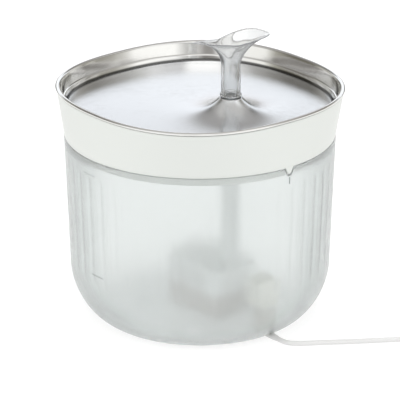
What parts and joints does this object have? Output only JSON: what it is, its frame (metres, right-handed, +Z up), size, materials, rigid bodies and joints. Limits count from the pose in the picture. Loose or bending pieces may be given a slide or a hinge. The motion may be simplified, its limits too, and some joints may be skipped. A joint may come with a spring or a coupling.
{
  "type": "pet water fountain",
  "caption": "Pet water fountain: frosted round tub, white collar, steel drinking tray with a raised cone, clear leaf spout, inner pump and filter, and a USB cable.",
  "frame": {"origin": "middle of the tub's base, on the surface that the foot pads stand on", "axes": "+Z up, +Y to the rear, where the cable leaves, +X to the right seen from the front with the rear away"},
  "size_m": [0.2783, 0.2532, 0.2071],
  "materials": {
    "frosted_tub": "frosted clear",
    "white_plastic": "satin",
    "polished_steel": "polished",
    "satin_steel": "satin",
    "clear_plastic": "clear",
    "silicone": "matte",
    "dark_rubber": "matte",
    "pump_plastic": "satin",
    "carbon": "granules",
    "felt": "needle felt",
    "foam": "open foam",
    "ceramic": "polished",
    "cable_white": "satin",
    "nickel": "plated"
  },
  "bodies": {
    "base": {"tank": "frosted_tub", "foot_pads": "dark_rubber", "riser_tube": "silicone", "pump_body": "pump_plastic", "volute_cap": "pump_plastic", "pump_cover": "pump_plastic", "pump_foam": "foam", "impeller_shaft": "ceramic", "suction_cups": "silicone", "power_socket": "white_plastic", "socket_seal": "silicone", "socket_nut": "nickel", "pump_lead": "cable_white", "strain_relief": "cable_white", "cord_run": "cable_white", "cord_coil": "cable_white", "cord_tie": "dark_rubber", "plug_grip": "cable_white", "plug_shell": "nickel"},
    "lid": {"collar": "white_plastic"},
    "holder": {"filter_holder": "white_plastic"},
    "cartridge": {"filter_frame": "white_plastic", "carbon_bed": "carbon", "filter_felt": "felt"},
    "tray": {"steel_tray": "polished_steel"},
    "plate": {"tray_plate": "satin_steel"},
    "seat": {"spout_seat": "silicone"},
    "spout": {"spout": "clear_plastic"},
    "rotor": {"impeller": "white_plastic"},
    "slider": {"flow_slider": "dark_rubber"}
  },
  "joints": [
    {"name": "collar_lift", "type": "slide", "parent": "base", "child": "lid", "axis": [0, 0, 1], "range_m": [0, 0.08]},
    {"name": "tray_lift", "type": "slide", "parent": "lid", "child": "tray", "axis": [0, 0, 1], "range_m": [0, 0.06]},
    {"name": "holder_lift", "type": "slide", "parent": "lid", "child": "holder", "axis": [0, 0, 1], "range_m": [0, 0.018]},
    {"name": "filter_lift", "type": "slide", "parent": "holder", "child": "cartridge", "axis": [0, 0, 1], "range_m": [0, 0.018]},
    {"name": "plate_lift", "type": "slide", "parent": "tray", "child": "plate", "axis": [0, 0, 1], "range_m": [0, 0.03]},
    {"name": "seat_pull", "type": "slide", "parent": "plate", "child": "seat", "axis": [0, 0, 1], "range_m": [0, 0.02]},
    {"name": "spout_swivel", "type": "hinge", "parent": "seat", "child": "spout", "pos_m": [0, 0.032, 0.165], "axis": [0, 0, 1], "continuous": true},
    {"name": "impeller_spin", "type": "hinge", "parent": "base", "child": "rotor", "pos_m": [0, 0.011, 0.02], "axis": [0, 0, 1], "continuous": true},
    {"name": "flow_slide", "type": "slide", "parent": "base", "child": "slider", "axis": [1, 0, 0], "range_m": [-0.004, 0.004]}
  ],
  "couplings": [
    {"joint": "holder_lift", "follows": "tray_lift", "ratio": 0.3},
    {"joint": "filter_lift", "follows": "tray_lift", "ratio": 0.3}
  ]
}
